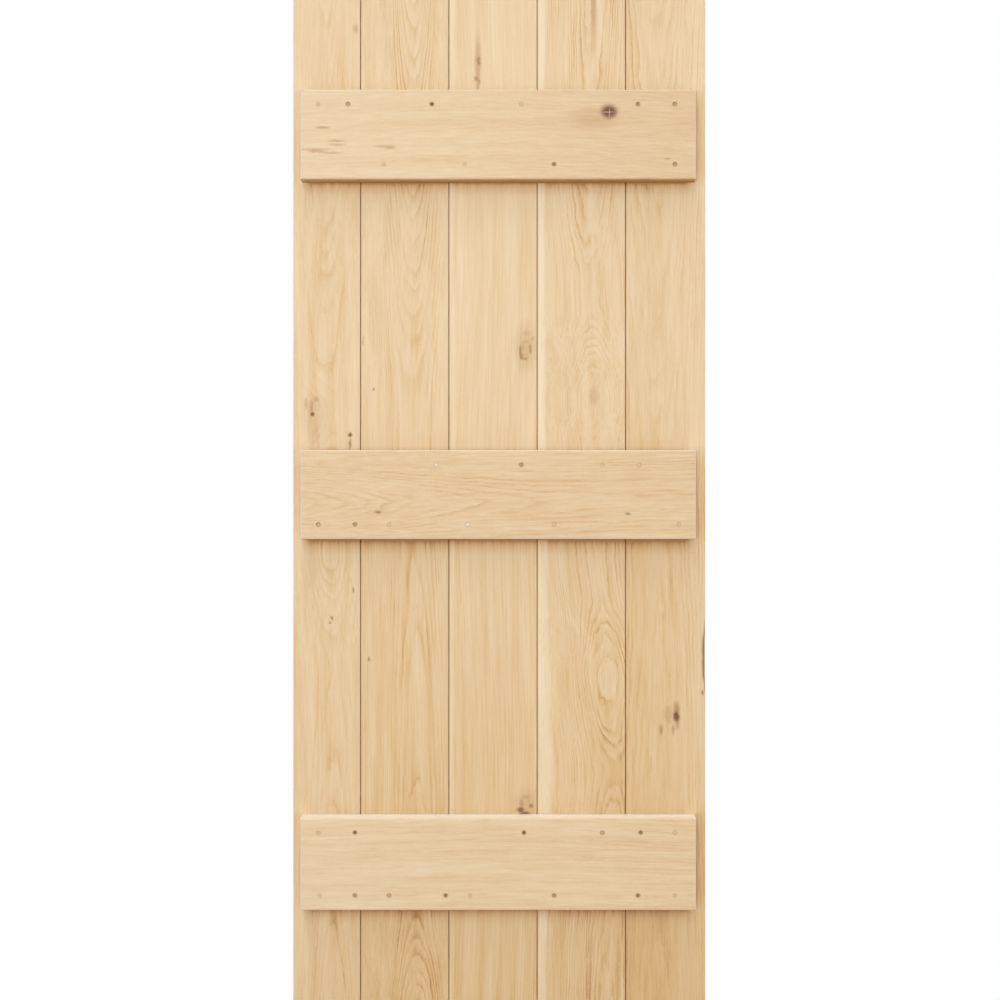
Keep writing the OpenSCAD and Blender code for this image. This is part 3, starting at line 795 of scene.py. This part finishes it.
# Dull steel under a brown skin of tannin: the eye gets a flecked, matt dot that hardly shines. The flecks
# are drawn coarser than real ones so that they show.
steel, tree = empty_material("tannin_stained_steel")
nail_at = node(tree, "TexCoord").outputs["Object"]
blotch = node(tree, "TexNoise", {"Vector": nail_at, "Scale": 1 / BLOTCH_SIZE, "Detail": 1.0}).outputs["Fac"]
fleck = node(tree, "TexNoise", {"Vector": nail_at, "Scale": 1 / FLECK_SIZE, "Detail": 2.0}).outputs["Fac"]
stained = node(tree, "Math", {0: fleck, 1: FLECK_SHARE, 2: blotch}, operation="MULTIPLY_ADD").outputs[0]
for x, z, smear in SMEARED:
    off = node(tree, "VectorMath", {0: nail_at, 1: (x * MM, 0, z * MM)}, operation="SUBTRACT").outputs[0]
    off = node(tree, "VectorMath", {0: off, 1: (1, 0, 1)}, operation="MULTIPLY").outputs[0]
    off = node(tree, "VectorMath", {0: off}, operation="LENGTH").outputs["Value"]
    head = node(tree, "Math", {0: off, 1: 2 * HOLE_RADIUS}, operation="LESS_THAN").outputs[0]
    stained = node(tree, "Math", {0: head, 1: smear, 2: stained}, operation="MULTIPLY_ADD").outputs[0]
stained = node(tree, "ValToRGB", {0: stained}, stops=NAIL_COLOURS).outputs["Color"]
pitted = node(tree, "Bump", {"Height": fleck, "Strength": 0.4, "Distance": PITTING_DEPTH}).outputs[0]
steel_shader = node(tree, "BsdfPrincipled", {
    "Base Color": stained, "Metallic": 0.3, "Roughness": 0.6, "Normal": pitted})
node(tree, "OutputMaterial", {"Surface": steel_shader.outputs[0]})
for name in LEDGES:
    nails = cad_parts[name + "_nails"]
    nails.data.materials.clear()
    nails.data.materials.append(steel)

# Filler: some of the nail holes are stopped with wood filler and sanded flush. Most of it is tan, a little
# darker than the oak, and two holes of the middle ledge have a white one. The eye gets a dry, matt paste
# with a grit of paler and duller crumbs, drawn coarser than real ones so that they show.
FILLERS = {
    "tan_wood_filler": {
        "plugs": ["top_ledge_filler", "middle_ledge_filler", "bottom_ledge_filler"],
        "crumbs": [(0.3, "#e3c9a4"), (0.7, "#d3b288")],
    },
    "white_wood_filler": {
        "plugs": ["middle_ledge_white_filler"],
        "crumbs": [(0.3, "#f7efe2"), (0.7, "#e6d6bd")],
    },
}
CRUMB_SIZE = 1.5 * MM
GRIT_DEPTH = 0.1 * MM
for name, filler in FILLERS.items():
    paste, tree = empty_material(name)
    place = node(tree, "TexCoord").outputs["Object"]
    crumb = node(tree, "TexNoise", {"Vector": place, "Scale": 1 / CRUMB_SIZE, "Detail": 3.0}).outputs["Fac"]
    mixed = node(tree, "ValToRGB", {0: crumb}, stops=filler["crumbs"]).outputs["Color"]
    gritty = node(tree, "Bump", {"Height": crumb, "Strength": 0.5, "Distance": GRIT_DEPTH}).outputs[0]
    paste_shader = node(tree, "BsdfPrincipled", {"Base Color": mixed, "Roughness": 0.8, "Normal": gritty})
    node(tree, "OutputMaterial", {"Surface": paste_shader.outputs[0]})
    for plug in filler["plugs"]:
        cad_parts[plug].data.materials.clear()
        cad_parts[plug].data.materials.append(paste)

# Studio: a pale floor that keeps the shadow close to the foot of the leaf and fades to white away from it,
# and white all round. Soft lamps stand in front, high in front, almost overhead, at both sides and behind.
FLOOR_HALF = 6.0
FLOOR_DROP = 0.5 * MM
FLOOR_SEEN = "#f2f1ee"
FLOOR_BOUNCE = "#b8aea1"
SHADOW_NEAR = 0.02
SHADOW_FAR = 0.13
FILL_LIGHT = 0.2
WHITE = (1, 1, 1, 1)
bpy.context.scene.view_settings.view_transform = "Standard"


def seen_by_eye(tree):
    """One for rays that come from the camera, straight or by way of metal or glass, and nought for those
    that light the object: the largest of the three ray kinds. Returns it and the camera's own."""
    path = node(tree, "LightPath").outputs
    seen = path["Is Camera Ray"]
    for kind in ("Is Glossy Ray", "Is Transmission Ray"):
        seen = node(tree, "Math", {0: seen, 1: path[kind]}, operation="MAXIMUM").outputs[0]
    return seen, path["Is Camera Ray"]


# Matt white floor: the eye gets plain white that takes a soft grey shadow near the leaf.
floor_mesh = bpy.data.meshes.new("floor")
floor_mesh.from_pydata(
    [(-FLOOR_HALF, -FLOOR_HALF, 0), (FLOOR_HALF, -FLOOR_HALF, 0), (FLOOR_HALF, FLOOR_HALF, 0),
     (-FLOOR_HALF, FLOOR_HALF, 0)], [], [(0, 1, 2, 3)])
floor = bpy.data.objects.new("floor", floor_mesh)
floor.location.z = -FLOOR_DROP
bpy.context.scene.collection.objects.link(floor)
pale_floor, tree = empty_material("white_studio_floor")
floor_at = node(tree, "TexCoord").outputs["Object"]
foot = (cad_box[1].x, cad_box[1].y, 0)
beyond = node(tree, "VectorMath", {0: floor_at}, operation="ABSOLUTE").outputs[0]
beyond = node(tree, "VectorMath", {0: beyond, 1: foot}, operation="SUBTRACT").outputs[0]
beyond = node(tree, "VectorMath", {0: beyond, 1: (0, 0, 0)}, operation="MAXIMUM").outputs[0]
beyond = node(tree, "VectorMath", {0: beyond}, operation="LENGTH").outputs["Value"]
clear = node(tree, "MapRange", {0: beyond, 1: SHADOW_NEAR, 2: SHADOW_FAR, 3: 0.0, 4: 1.0},
             interpolation_type="SMOOTHSTEP").outputs[0]
seen, straight = seen_by_eye(tree)
seen = node(tree, "Math", {0: seen, 1: clear}, operation="MULTIPLY").outputs[0]
matt = node(tree, "Mix", {0: straight, 6: linear(FLOOR_BOUNCE), 7: linear(FLOOR_SEEN)},
            data_type="RGBA").outputs[2]
matt = node(tree, "BsdfDiffuse", {"Color": matt}).outputs[0]
white = node(tree, "Emission", {"Color": WHITE, "Strength": 1.0}).outputs[0]
mixed = node(tree, "MixShader", {0: seen, 1: matt, 2: white}).outputs[0]
node(tree, "OutputMaterial", {"Surface": mixed})
floor_mesh.materials.append(pale_floor)

world = bpy.data.worlds.new("white_studio")
bpy.context.scene.world = world
world.use_nodes = True
tree = world.node_tree
tree.nodes.clear()
seen, straight = seen_by_eye(tree)
level = node(tree, "MapRange", {0: seen, 1: 0.0, 2: 1.0, 3: FILL_LIGHT, 4: 1.0}).outputs[0]
sky = node(tree, "Background", {"Color": WHITE, "Strength": level}).outputs[0]
node(tree, "OutputWorld", {"Surface": sky})

# Each lamp's place, the point that it faces and its size, in metres, and its power in watts.
LAMPS = {
    "soft_front": ((-0.3, -4.6, 0.75), (0, 0, 0.9), 2.2, 96),
    "soft_high": ((-1.2, -8.0, 8.5), (0, 0, 1.0), 5.0, 262),
    "soft_top": ((-0.4, -2.2, 9.0), (0, 0, 1.0), 3.0, 220),
    "soft_left": ((-5.0, -2.6, 0.7), (0, 0, 1.0), 2.5, 42),
    "soft_right": ((5.0, -2.6, 0.7), (0, 0, 1.0), 2.5, 42),
    "soft_back": ((0.6, 4.0, 2.2), (0, 0, 1.0), 2.6, 135),
}
for name, (place, aim, size, watts) in LAMPS.items():
    lamp = bpy.data.lights.new(name, "AREA")
    lamp.size = size
    lamp.energy = watts
    lit = bpy.data.objects.new(name, lamp)
    lit.location = place
    lit.rotation_euler = (lit.location - type(lit.location)(aim)).to_track_quat("Z", "Y").to_euler()
    lit.visible_camera = False
    bpy.context.scene.collection.objects.link(lit)

# Camera: level with the middle of the leaf and square to it, 2.43 m away, close enough for the leaf to
# run out of the picture at the top and at the bottom.
CAMERA_PLACE = (0.0013, -2.432, 0.9902)
CAMERA_LENS = 47.4
CAMERA_SENSOR = 36.0
camera = bpy.data.objects.new("camera", bpy.data.cameras.new("camera"))
camera.location = CAMERA_PLACE
camera.rotation_euler = (np.pi / 2, 0, 0)
camera.data.lens = CAMERA_LENS
camera.data.sensor_width = CAMERA_SENSOR
bpy.context.scene.collection.objects.link(camera)
bpy.context.scene.camera = camera
